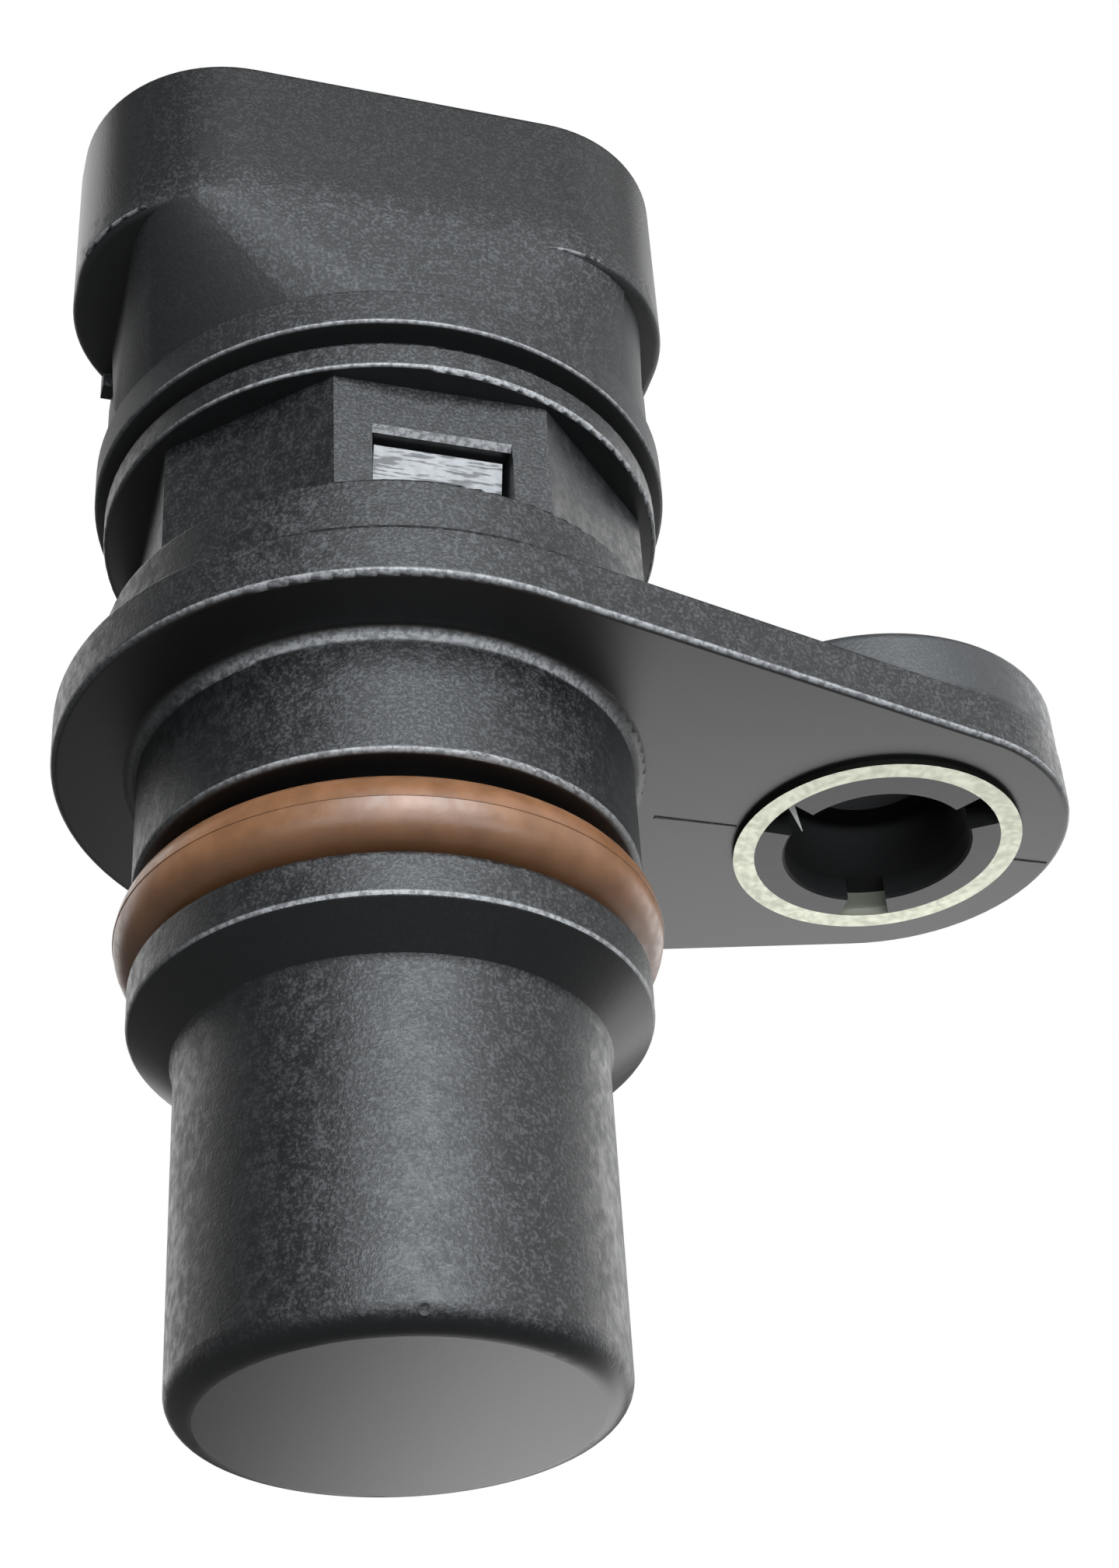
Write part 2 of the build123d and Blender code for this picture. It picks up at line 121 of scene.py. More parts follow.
class SensorFinish(bpy.types.PropertyGroup):
    housing_colour: FloatVectorProperty(
        name="Housing Colour", description="Base colour of the black glass-filled moulding",
        subtype="COLOR", size=3, min=0, max=1, default=(0.0082, 0.0084, 0.0090))
    # Fleck colour: the glass fibre flecks, kept to the front as a painted highlight speckle; it also paints a paler
    # cast of light on the right side and on the boss of the tab
    fleck_and_painted_light_colour: FloatVectorProperty(
        name="Fleck Colour", description="Colour of the glass fibre flecks at the moulded surface",
        subtype="COLOR", size=3, min=0, max=1, default=(0.078, 0.081, 0.085))
    housing_shine: FloatProperty(
        name="Housing Shine", description="Strength of the reflections of the black moulding",
        min=0, max=1, default=0.72)
    fleck_size: FloatProperty(
        name="Fleck Size", description="Size of one fleck",
        unit="LENGTH", subtype="DISTANCE", min=0.00005, default=0.00021)
    grain_depth: FloatProperty(
        name="Grain Depth", description="Depth of the rough grain on the housing",
        unit="LENGTH", subtype="DISTANCE", min=0, default=0.000030)
    seal_colour: FloatVectorProperty(
        name="Seal Colour", description="Colour of the brown rubber ring",
        subtype="COLOR", size=3, min=0, max=1, default=(0.27, 0.118, 0.048))
    sleeve_colour: FloatVectorProperty(
        name="Sleeve Colour", description="Colour of the plated steel sleeve",
        subtype="COLOR", size=3, min=0, max=1, default=(0.70, 0.72, 0.585))
    carrier_colour: FloatVectorProperty(
        name="Carrier Colour", description="Colour of the light grey inner moulding",
        subtype="COLOR", size=3, min=0, max=1, default=(0.28, 0.285, 0.292))
    terminal_colour: FloatVectorProperty(
        name="Terminal Colour", description="Colour of the tinned blades",
        subtype="COLOR", size=3, min=0, max=1, default=(0.78, 0.77, 0.73))


class SensorDetails(bpy.types.PropertyGroup):
    gate_radius: FloatProperty(
        name="Gate Mark Radius", description="Radius of the broken gate at the tip",
        unit="LENGTH", subtype="DISTANCE", min=0.0001, default=0.00024)
    gate_height: FloatProperty(
        name="Gate Mark Height", description="How far the broken gate stands out",
        unit="LENGTH", subtype="DISTANCE", min=0.00002, default=0.00005)
    parting_width: FloatProperty(
        name="Parting Line Width", description="Width of the raised lines under the bolt tab",
        unit="LENGTH", subtype="DISTANCE", min=0.00002, default=0.00018)
    parting_height: FloatProperty(
        name="Parting Line Height", description="Height of the raised lines under the bolt tab",
        unit="LENGTH", subtype="DISTANCE", min=0.00001, default=0.00004)
    # Edge highlight colour: a highlight painted pale along the lower edges, and at 0.6 of it on the burrs
    edge_highlight_colour: FloatVectorProperty(
        name="Highlight Colour", description="Colour of the lower edges where they are rubbed pale",
        subtype="COLOR", size=3, min=0, max=1, default=(0.44, 0.445, 0.455))
    burr_section: FloatProperty(
        name="Burr Section", description="Section radius of the burrs under the shroud",
        unit="LENGTH", subtype="DISTANCE", min=0.00001, default=0.00009)
    flash_section: FloatProperty(
        name="Flash Section", description="Section radius of the flash line round the rubber ring",
        unit="LENGTH", subtype="DISTANCE", min=0.00001, default=0.00003)
    flash_steps: IntProperty(
        name="Flash Steps", description="Steps in one turn of the flash line",
        min=24, max=720, default=240)


class SensorStage(bpy.types.PropertyGroup):
    floor_height: FloatProperty(
        name="Floor Height", description="Height of the floor in the part's frame",
        unit="LENGTH", subtype="DISTANCE", default=-0.085)
    key_level: FloatProperty(
        name="Key Level", description="Brightness of the large soft light in front", min=0, default=6.1)
    fill_level: FloatProperty(
        name="Fill Level", description="Brightness of the soft light at the right", min=0, default=1.4)
    back_level: FloatProperty(
        name="Back Level", description="Brightness of the soft lights behind", min=0, default=1.32)
    room_level: FloatProperty(
        name="Room Level", description="Brightness of the studio away from the lights", min=0, default=0.15)
    camera_place: FloatVectorProperty(
        name="Camera Place", description="Where the camera stands",
        subtype="TRANSLATION", unit="LENGTH", size=3, default=(-0.022127, -0.091065, -0.06662))
    camera_yaw: FloatProperty(
        name="Camera Yaw", description="How far the camera turns to the right of the Y axis",
        subtype="ANGLE", default=math.radians(18.31))
    camera_pitch: FloatProperty(
        name="Camera Pitch", description="How far the camera looks up",
        subtype="ANGLE", default=math.radians(35.27))
    camera_roll: FloatProperty(
        name="Camera Roll", description="How far the camera leans",
        subtype="ANGLE", default=math.radians(-3.93))
    camera_lens: FloatProperty(
        name="Lens", description="Focal length in millimetres for a 36 mm frame", min=1, default=59.79)


# Material building

# Sockets of a Mix node that carry colours: both inputs and the result
MIX_FIRST, MIX_SECOND, MIX_RESULT = 6, 7, 2

# Pattern sizes of the black moulding, counted in flecks
GRAIN_SIZE, LUMP_SIZE, PATCH_SIZE, EDGE_LIGHT_BREAK_SIZE = 0.75, 2.6, 9, 1.2

# Spans of the black moulding: a range of noise, of facing or of height, and what it is spread to
PATCH_SPAN = (0.34, 0.62, 0.82, 1.0)
DOWN_SPAN = (-0.85, -0.45, 0.12, 1.0)
# The front span keeps the flecks to the faces that catch the highlight, as painted highlight; the right and boss
# spans paint a paler cast of light
FRONT_HIGHLIGHT_SPAN = (-0.97, -0.55, 1.0, 0.18)
RIGHT_LIGHT_SPAN = (0.45, 0.95, 0.0, 0.35)
FLECK_SPAN = (0.60, 0.82)
EDGE_LIGHT_BREAK_SPAN = (0.40, 0.58, 0.45, 1.0)
ROUGH_SPAN = (0.25, 0.65, 0.34, 0.52)
BOSS_LIGHT_X_SPAN = (14 * MM, 17 * MM)
BOSS_LIGHT_Z_SPAN = (2.4 * MM, 2.9 * MM, 0.0, 0.55)

# Spans of the painted edge highlights: slopes between flat and upright, and faces towards the front
SLOPE_FROM_SPAN = (-0.99, -0.86)
SLOPE_TO_SPAN = (-0.36, -0.12, 1.0, 0.0)
EDGE_FRONT_SPAN = (-0.90, -0.25, 1.0, 0.12)

# Middle part of a noise pattern, which most finishes spread over their whole range
MIDDLE = (0.3, 0.7)


def shade(colour, share, lift=0.0):
    """The colour times share, lifted a little if asked, and never over 1."""
    return tuple(min(1, c * share + lift) for c in colour)


class Finish:
    """A material being built: one Principled shader and the patterns that feed it."""

    def __init__(self, name, colour, roughness, metallic=0.0):
        self.material = bpy.data.materials.new(name)
        self.material.use_nodes = True
        self.tree = self.material.node_tree
        self.tree.nodes.clear()
        self.output = self.tree.nodes.new("ShaderNodeOutputMaterial")
        self.shader = self.tree.nodes.new("ShaderNodeBsdfPrincipled")
        self.put(self.output.inputs["Surface"], self.shader.outputs["BSDF"])
        self.place = self.tree.nodes.new("ShaderNodeTexCoord").outputs["Object"]
        self.put(self.shader.inputs["Base Color"], tuple(colour))
        self.put(self.shader.inputs["Roughness"], roughness)
        self.put(self.shader.inputs["Metallic"], metallic)

    def put(self, socket, value):
        """Links a pattern to a socket, or sets a plain number or colour on it."""
        if isinstance(value, bpy.types.NodeSocket):
            self.tree.links.new(value, socket)
        elif isinstance(value, tuple) and len(value) == 3 and len(socket.default_value) == 4:
            socket.default_value = (*value, 1)
        else:
            socket.default_value = value

    def noise(self, size, detail=2.0, rough=0.5, stretch=None):
        """Noise whose bumps are about size across, drawn out along an axis if stretch is given."""
        place = self.place
        if stretch:
            mapping = self.tree.nodes.new("ShaderNodeMapping")
            mapping.inputs["Scale"].default_value = stretch
            self.put(mapping.inputs["Vector"], place)
            place = mapping.outputs["Vector"]
        node = self.tree.nodes.new("ShaderNodeTexNoise")
        self.put(node.inputs["Vector"], place)
        node.inputs["Scale"].default_value = 1 / size
        node.inputs["Detail"].default_value = detail
        node.inputs["Roughness"].default_value = rough
        return node.outputs["Fac"]

    def span(self, value, low, high, to_low=0.0, to_high=1.0):
        """Spreads value smoothly from low..high to to_low..to_high, clamped."""
        node = self.tree.nodes.new("ShaderNodeMapRange")
        node.interpolation_type = "SMOOTHSTEP"
        self.put(node.inputs["Value"], value)
        node.inputs["From Min"].default_value = low
        node.inputs["From Max"].default_value = high
        node.inputs["To Min"].default_value = to_low
        node.inputs["To Max"].default_value = to_high
        return node.outputs["Result"]

    def maths(self, operation, first, *others):
        """Chains one math operation over two or more values."""
        for other in others:
            node = self.tree.nodes.new("ShaderNodeMath")
            node.operation = operation
            self.put(node.inputs[0], first)
            self.put(node.inputs[1], other)
            first = node.outputs[0]
        return first

    def axis(self, name):
        """One of the object coordinates, X, Y or Z, in metres."""
        node = self.tree.nodes.new("ShaderNodeSeparateXYZ")
        self.put(node.inputs[0], self.place)
        return node.outputs[name]

    def distance(self, x=0.0):
        """Distance from an upright axis through x on the X axis."""
        shift, flat, length = (self.tree.nodes.new("ShaderNodeVectorMath") for _ in range(3))
        shift.operation, flat.operation, length.operation = "SUBTRACT", "MULTIPLY", "LENGTH"
        shift.inputs[1].default_value = (x, 0, 0)
        flat.inputs[1].default_value = (1, 1, 0)
        self.put(shift.inputs[0], self.place)
        self.put(flat.inputs[0], shift.outputs[0])
        self.put(length.inputs[0], flat.outputs[0])
        return length.outputs["Value"]

    def facing(self, name):
        """How far the surface faces along X, Y or Z, from -1 to 1."""
        node = self.tree.nodes.new("ShaderNodeSeparateXYZ")
        self.put(node.inputs[0], self.tree.nodes.new("ShaderNodeTexCoord").outputs["Normal"])
        return node.outputs[name]

    def blend(self, amount, first, second):
        """Mixes two colours by a pattern."""
        node = self.tree.nodes.new("ShaderNodeMix")
        node.data_type = "RGBA"
        self.put(node.inputs[0], amount)
        self.put(node.inputs[MIX_FIRST], first)
        self.put(node.inputs[MIX_SECOND], second)
        return node.outputs[MIX_RESULT]

    def colour(self, value):
        self.put(self.shader.inputs["Base Color"], value)

    def roughness(self, value):
        self.put(self.shader.inputs["Roughness"], value)

    def bump(self, height, depth):
        """Raises the surface by depth where height is 1."""
        node = self.tree.nodes.new("ShaderNodeBump")
        node.inputs["Strength"].default_value = 1.0
        node.inputs["Distance"].default_value = depth
        self.put(node.inputs["Height"], height)
        self.put(self.shader.inputs["Normal"], node.outputs["Normal"])


def glass_filled_black(name, settings, edge_highlight_colour, edges, smooth_and_shaded_above=None):
    """Black moulding: flecks kept to the front as a painted highlight speckle, a painted paler cast of light on the
    right side and boss, calmer sides and end faces, and a painted highlight along the lower edges.
    """
    black, fleck = tuple(settings.housing_colour), tuple(settings.fleck_and_painted_light_colour)
    finish = Finish(name, black, 0.34)
    finish.shader.inputs["Specular IOR Level"].default_value = settings.housing_shine
    grain = finish.noise(settings.fleck_size * GRAIN_SIZE, 3.0, 0.7)
    lumps = finish.noise(settings.fleck_size * LUMP_SIZE, 2.0, 0.6)

    # How strongly the grain shows: in patches, hardly on faces that look down, and less up the shroud, where fewer
    # pale flecks also paint the upper shroud darker, as shade
    amount = finish.maths("MULTIPLY", finish.span(finish.noise(settings.fleck_size * PATCH_SIZE), *PATCH_SPAN),
                          finish.span(finish.facing("Z"), *DOWN_SPAN))
    if smooth_and_shaded_above is not None:
        shaded_upper = finish.span(finish.axis("Z"), smooth_and_shaded_above, smooth_and_shaded_above + 3 * MM, 1.0, 0.45)
        amount = finish.maths("MULTIPLY", amount, shaded_upper)

    # Flecks on the front only, a painted highlight speckle on the real glass fibre grain, and a painted paler cast of
    # light on the right side and on the boss of the tab
    pale = finish.span(finish.maths("ADD", grain, finish.maths("MULTIPLY", lumps, 0.3)), *FLECK_SPAN)
    flecks = finish.maths("MULTIPLY", pale, amount, finish.span(finish.facing("Y"), *FRONT_HIGHLIGHT_SPAN))
    side = finish.span(finish.facing("X"), *RIGHT_LIGHT_SPAN)
    boss = finish.maths("MULTIPLY", finish.span(finish.axis("X"), *BOSS_LIGHT_X_SPAN),
                        finish.span(finish.axis("Z"), *BOSS_LIGHT_Z_SPAN))
    surface = finish.blend(finish.maths("MAXIMUM", flecks, side, boss), black, fleck)

    # Painted highlight along the lower edges, broken up by noise
    highlight_breaks = finish.span(finish.noise(settings.fleck_size * EDGE_LIGHT_BREAK_SIZE, 3.0, 0.6), *EDGE_LIGHT_BREAK_SPAN)
    edge_light = finish.maths("MULTIPLY", edge_highlight_mask(finish, edges), highlight_breaks)
    finish.colour(finish.blend(edge_light, surface, tuple(edge_highlight_colour)))

    rough = finish.span(finish.maths("MULTIPLY", lumps, amount), *ROUGH_SPAN)
    if smooth_and_shaded_above is not None:
        dull = finish.span(finish.axis("Z"), smooth_and_shaded_above - 0.6 * MM, smooth_and_shaded_above + 1.2 * MM, 0.58, 0.36)
        rough = finish.maths("MAXIMUM", rough, dull)
    finish.roughness(rough)
    finish.bump(finish.maths("MULTIPLY", grain, amount), settings.grain_depth)
    return finish.material


def edge_highlight_mask(finish, edges):
    """1 on the rounded lower edges inside any of the bands, strongest towards the front: where the edge highlight is
    painted.
    """
    height, distance = finish.axis("Z"), finish.distance()
    slope = finish.maths("MULTIPLY", finish.span(finish.facing("Z"), *SLOPE_FROM_SPAN),
                         finish.span(finish.facing("Z"), *SLOPE_TO_SPAN))
    front = finish.span(finish.facing("Y"), *EDGE_FRONT_SPAN)
    total = 0.0
    for low, high, reach in edges:
        band = finish.maths("MULTIPLY", finish.maths("GREATER_THAN", height, low),
                            finish.maths("LESS_THAN", height, high), finish.maths("LESS_THAN", distance, reach))
        total = finish.maths("MAXIMUM", total, band)
    return finish.maths("MULTIPLY", total, slope, front)


def smooth_black(name, settings):
    """Black moulding straight from a polished tool, duller inside its hole and painted darker there, as shade."""
    finish = Finish(name, settings.housing_colour, 0.4)
    flow = finish.noise(1.2 * MM, 3.0, 0.5, stretch=(1, 1, 0.35))
    # Painted shade: darker towards the depth of the hole
    deep = finish.span(finish.axis("Z"), 0.2 * MM, 0.9 * MM)
    skin = finish.blend(finish.span(flow, *MIDDLE), (0.009, 0.009, 0.010), (0.014, 0.014, 0.015))
    finish.colour(finish.blend(deep, skin, (0.002, 0.002, 0.0025)))
    below = finish.span(finish.facing("Z"), -0.9, -0.5, 0.36, 0.75)
    finish.roughness(finish.maths("MAXIMUM", below, finish.maths("MULTIPLY", deep, 0.9)))
    finish.bump(finish.noise(0.12 * MM), 0.003 * MM)
    return finish.material


def brown_rubber(name, colour):
    """Moulded rubber: matt and faintly mottled, with painted shade on its underside."""
    finish = Finish(name, colour, 0.36)
    finish.shader.inputs["Specular IOR Level"].default_value = 1.0
    mottle = finish.span(finish.noise(1.6 * MM, 3.0, 0.55), *MIDDLE)
    # Painted shade on the underside
    under = finish.span(finish.facing("Z"), -0.9, -0.1, 0.6, 0.0)
    skin = finish.blend(mottle, shade(colour, 0.82), shade(colour, 1.15, 0.01))
    finish.colour(finish.blend(under, skin, shade(colour, 0.35)))
    finish.roughness(finish.span(finish.noise(0.5 * MM), *MIDDLE, 0.32, 0.44))
    finish.bump(finish.noise(0.15 * MM), 0.004 * MM)
    return finish.material


def plated_steel(name, colour):
    """Turned and plated steel: fine lathe rings, a tint that varies a little and a painted shadow on the outer wall.
    """
    finish = Finish(name, colour, 0.4, 0.55)
    plating = finish.blend(finish.span(finish.noise(2.0 * MM), *MIDDLE), shade(colour, 0.9), colour)
    # Painted shadow on the sleeve's outer wall, where the gap round it falls into shade
    outer = finish.maths("MULTIPLY", finish.span(finish.distance(BOLT_X), SLEEVE_R - 0.16 * MM, SLEEVE_R - 0.06 * MM),
                         finish.span(finish.facing("Z"), -0.85, -0.6))
    finish.colour(finish.blend(outer, plating, (0.015, 0.015, 0.012)))
    finish.roughness(finish.span(finish.noise(0.4 * MM, 3.0, 0.6), *MIDDLE, 0.34, 0.50))
    finish.bump(finish.noise(0.08 * MM, stretch=(0.3, 0.3, 3)), 0.003 * MM)
    return finish.material


def matt_moulding(name, colour, roughness):
    """Plain engineering plastic with a faint flow pattern."""
    finish = Finish(name, colour, roughness)
    flow = finish.noise(0.9 * MM, 3.0, 0.6, stretch=(1, 1, 0.4))
    finish.colour(finish.blend(finish.span(flow, *MIDDLE), shade(colour, 0.85), shade(colour, 1.12)))
    finish.roughness(finish.span(flow, *MIDDLE, roughness - 0.06, roughness + 0.08))
    finish.bump(finish.noise(0.12 * MM), 0.004 * MM)
    return finish.material


def scraped_moulding(name, colour):
    """Light moulding with short dark scrapes across it, as left by pushing it into place."""
    finish = Finish(name, colour, 0.36)
    flow = finish.span(finish.noise(0.7 * MM, 3.0, 0.6), 0.35, 0.65)
    scrapes = finish.span(finish.noise(0.9 * MM, 3.0, 0.65, stretch=(0.5, 0.5, 4.5)), 0.50, 0.60)
    plain = finish.blend(flow, colour, shade(colour, 1.25))
    finish.colour(finish.blend(finish.maths("MULTIPLY", scrapes, 0.75), plain, shade(colour, 0.30)))
    finish.roughness(finish.span(scrapes, 0, 1, 0.30, 0.55))
    finish.bump(scrapes, -0.012 * MM)
    return finish.material


def bright_metal(name, colour, roughness):
    """Rolled or tinned metal with fine drawing marks along its length."""
    finish = Finish(name, colour, roughness, 1.0)
    marks = finish.noise(0.14 * MM, 3.0, 0.6, stretch=(1, 1, 0.08))
    finish.colour(finish.blend(finish.span(marks, *MIDDLE), shade(colour, 0.88), colour))
    finish.roughness(finish.span(marks, *MIDDLE, roughness - 0.06, roughness + 0.1))
    finish.bump(marks, 0.002 * MM)
    return finish.material


def scuffed_edge(name, colour, base):
    """Burr left along a moulded edge, with a highlight painted pale on it in places."""
    finish = Finish(name, colour, 0.4)
    painted = finish.span(finish.noise(0.55 * MM, 3.0, 0.65), 0.40, 0.58)
    finish.colour(finish.blend(painted, tuple(base), colour))
    finish.roughness(finish.span(painted, 0, 1, 0.45, 0.3))
    return finish.material


# Finishes of the parts inside the barrel: maker, name, colour, roughness and the nodes that wear it
INNER_FINISHES = (
    (bright_metal, "lead_tin", (0.72, 0.71, 0.69), 0.34, ("lead_supply", "lead_ground", "lead_signal")),
    (matt_moulding, "chip_black", (0.016, 0.016, 0.017), 0.55, ("hall_ic",)),
    (bright_metal, "pole_iron", (0.42, 0.41, 0.40), 0.45, ("pole_piece",)),
    (bright_metal, "magnet_nickel", (0.62, 0.60, 0.56), 0.3, ("magnet",)),
    (matt_moulding, "board_green", (0.015, 0.085, 0.035), 0.4, ("circuit_board",)),
    (matt_moulding, "capacitor_tan", (0.42, 0.31, 0.18), 0.45, ("capacitor_supply", "capacitor_output")),
    (matt_moulding, "resistor_black", (0.02, 0.02, 0.022), 0.4, ("resistor_pullup",)),
)


def clothe(material, *nodes):
    """Puts a material on CAD nodes."""
    for name in nodes:
        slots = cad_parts[name].material_slots
        if not slots:
            raise RuntimeError(f"{name} has no material slot")
        for entry in slots:
            entry.material = material


# Mesh building

def start_clean():
    """Leaves edit mode and selects nothing."""
    if bpy.context.object and bpy.context.object.mode != "OBJECT":
        bpy.ops.object.mode_set(mode="OBJECT")
    bpy.ops.object.select_all(action="DESELECT")


def fresh_piece():
    """The primitive just added, with its place, turn and scale moved into its mesh."""
    bpy.ops.object.transform_apply(location=True, rotation=True, scale=True)
    return bpy.context.object


def pick(obj, kind, test):
    """In edit mode, selects only the faces or edges that pass the test."""
    mesh = bmesh.from_edit_mesh(obj.data)
    for group in (mesh.faces, mesh.edges, mesh.verts):
        for item in group:
            item.select_set(False)
    bpy.ops.mesh.select_mode(type={"faces": "FACE", "edges": "EDGE"}[kind])
    mesh = bmesh.from_edit_mesh(obj.data)
    hits = 0
    for item in getattr(mesh, kind):
        if test(item):
            item.select_set(True)
            hits += 1
    bmesh.update_edit_mesh(obj.data)
    if not hits:
        raise RuntimeError(f"Nothing to select on {obj.name}")


def weld():
    """In edit mode, joins doubled vertices and turns the faces outwards, then leaves edit mode."""
    bpy.ops.mesh.select_all(action="SELECT")
    bpy.ops.mesh.remove_doubles(threshold=WELD_GAP)
    bpy.ops.mesh.normals_make_consistent(inside=False)
    bpy.ops.object.mode_set(mode="OBJECT")


def soften(obj, width):
    """Bevels the sharp edges of a piece."""
    modifier = obj.modifiers.new("Bevel", "BEVEL")
    modifier.width = width
    modifier.segments = 2
    modifier.limit_method = "ANGLE"
    bpy.ops.object.modifier_apply(modifier=modifier.name)


def settle(obj, name, material):
    """Names a finished piece, leaves its place in its mesh and hands it to the frame."""
    bpy.ops.object.transform_apply(location=True, rotation=True, scale=True)
    bpy.ops.object.shade_smooth_by_angle(angle=SMOOTH_ANGLE)
    obj.name = name
    obj.data.name = name
    obj.data.materials.clear()
    obj.data.materials.append(material)
    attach(obj, "root")
    obj.select_set(False)


def parting_ridge(name, x0, x1, details):
    """Low raised line along X under the tab, sunk a little into it and narrower at its crest."""
    width, height, sunk = details.parting_width, details.parting_height, 0.01 * MM
    start_clean()
    bpy.ops.mesh.primitive_cube_add(size=1, location=((x0 + x1) / 2, 0, -height / 2 + sunk),
                                    scale=(x1 - x0, width, height + 2 * sunk))
    obj = fresh_piece()
    bpy.ops.object.mode_set(mode="EDIT")
    pick(obj, "faces", lambda f: f.normal.z < -0.9)
    bpy.ops.mesh.inset(thickness=width * 0.3, depth=0)
    bpy.ops.transform.translate(value=(0, 0, -height * 0.3))
    bpy.ops.object.mode_set(mode="OBJECT")
    soften(obj, height * 0.2)
    settle(obj, name, bpy.data.materials["housing_black"])


def swept_bead(name, centre, radius, first, turn, section, steps, material):
    """Thin round bead swept about an upright axis, with closed ends unless it makes a full turn."""
    start_clean()
    bpy.ops.mesh.primitive_circle_add(
        vertices=BEAD_SIDES, radius=section, fill_type="NOTHING" if turn == math.tau else "NGON",
        location=(centre[0] + radius * math.cos(first), centre[1] + radius * math.sin(first), centre[2]),
        rotation=(math.radians(90), 0, first))
    obj = fresh_piece()
    bpy.ops.object.mode_set(mode="EDIT")
    bpy.ops.mesh.select_all(action="SELECT")
    bpy.ops.mesh.spin(steps=steps, angle=turn, center=centre, axis=(0, 0, 1))
    weld()
    settle(obj, name, material)


def rounded_block(left, right, front, low, high, corners):
    """Block from y = 0 to the front, with its two upright front edges rounded to the given radii."""
    start_clean()
    bpy.ops.mesh.primitive_cube_add(
        size=1, scale=(right - left, -front, high - low),
        location=((left + right) / 2, front / 2, (low + high) / 2))
    obj = fresh_piece()
    for x, radius in zip((left, right), corners):
        bpy.ops.object.mode_set(mode="EDIT")
        pick(obj, "edges", lambda e: all(
            abs(v.co.x - x) < ON_PLANE and abs(v.co.y - front) < ON_PLANE for v in e.verts))
        bpy.ops.mesh.bevel(offset=radius * ROUNDING_SHARE, segments=FLARE_STEPS, affect="EDGES")
        bpy.ops.object.mode_set(mode="OBJECT")
    return obj


def lies_at(face, z):
    """Whether a whole face lies at one height."""
    return all(abs(v.co.z - z) < ON_PLANE for v in face.verts)


# Operators: finishes

class SENSOR_OT_finish_housing(bpy.types.Operator):
    """Gives the housing its black glass-filled moulding finish"""
    bl_idname = "sensor.finish_housing"
    bl_label = "Finish Housing"

    def execute(self, context):
        painted = context.scene.sensor_details.edge_highlight_colour
        clothe(glass_filled_black("housing_black", context.scene.sensor_finish, painted, HOUSING_EDGES), "housing")
        return {"FINISHED"}


class SENSOR_OT_finish_connector(bpy.types.Operator):
    """Gives the connector body its finish, smoother towards the shroud mouth and painted darker there, as shade"""
    bl_idname = "sensor.finish_connector"
    bl_label = "Finish Connector"

    def execute(self, context):
        painted = context.scene.sensor_details.edge_highlight_colour
        black = glass_filled_black(
            "connector_black", context.scene.sensor_finish, painted, CONNECTOR_EDGES, CONNECTOR_SMOOTH_SHADED_Z)
        clothe(black, "connector_body")
        return {"FINISHED"}


class SENSOR_OT_finish_bolt_hole(bpy.types.Operator):
    """Plates the sleeve and finishes the liner that keeps the bolt captive"""
    bl_idname = "sensor.finish_bolt_hole"
    bl_label = "Finish Bolt Hole"

    def execute(self, context):
        settings = context.scene.sensor_finish
        clothe(plated_steel("sleeve_plating", tuple(settings.sleeve_colour)), "compression_limiter")
        clothe(smooth_black("retainer_black", settings), "bolt_retainer")
        return {"FINISHED"}


class SENSOR_OT_finish_seals(bpy.types.Operator):
    """Gives the two rubber rings their finish"""
    bl_idname = "sensor.finish_seals"
    bl_label = "Finish Seals"

    def execute(self, context):
        clothe(brown_rubber("seal_brown", tuple(context.scene.sensor_finish.seal_colour)), "o_ring")
        clothe(matt_moulding("seal_black", (0.014, 0.014, 0.014), 0.6), "carrier_seal")
        return {"FINISHED"}


class SENSOR_OT_finish_inner(bpy.types.Operator):
    """Finishes the carrier, the terminals and the parts inside the barrel"""
    bl_idname = "sensor.finish_inner"
    bl_label = "Finish Inner Parts"

    def execute(self, context):
        settings = context.scene.sensor_finish
        clothe(scraped_moulding("carrier_grey", tuple(settings.carrier_colour)), "carrier")
        clothe(bright_metal("terminal_tin", tuple(settings.terminal_colour), 0.28),
               "terminal_supply", "terminal_ground", "terminal_signal")
        for build, name, colour, roughness, nodes in INNER_FINISHES:
            clothe(build(name, colour, roughness), *nodes)
        return {"FINISHED"}


# Operators: moulding details

class SENSOR_OT_add_gate_mark(bpy.types.Operator):
    """Adds the broken gate on the rounded edge of the tip"""
    bl_idname = "sensor.add_gate_mark"
    bl_label = "Add Gate Mark"

    def execute(self, context):
        details = context.scene.sensor_details
        around = Vector(GATE_AROUND).normalized()
        normal = around * math.sin(GATE_SLOPE) + Vector((0, 0, -1)) * math.cos(GATE_SLOPE)
        centre = around * (BARREL_R - TIP_EDGE_R) + Vector((0, 0, TIP_Z + TIP_EDGE_R)) + normal * TIP_EDGE_R
        root = 0.1 * MM
        depth = details.gate_height + root
        start_clean()
        bpy.ops.mesh.primitive_cylinder_add(
            vertices=28, radius=details.gate_radius, depth=depth,
            location=centre + normal * (depth / 2 - root), rotation=normal.to_track_quat("Z", "Y").to_euler())
        obj = fresh_piece()
        bpy.ops.object.mode_set(mode="EDIT")
        pick(obj, "faces", lambda f: f.normal.dot(normal) > 0.95)
        bpy.ops.mesh.inset(thickness=details.gate_radius * 0.35, depth=0)
        bpy.ops.transform.translate(value=-normal * details.gate_height * 0.5)
        bpy.ops.object.mode_set(mode="OBJECT")
        soften(obj, 0.02 * MM)
        settle(obj, "tip_gate_mark", bpy.data.materials["housing_black"])
        return {"FINISHED"}


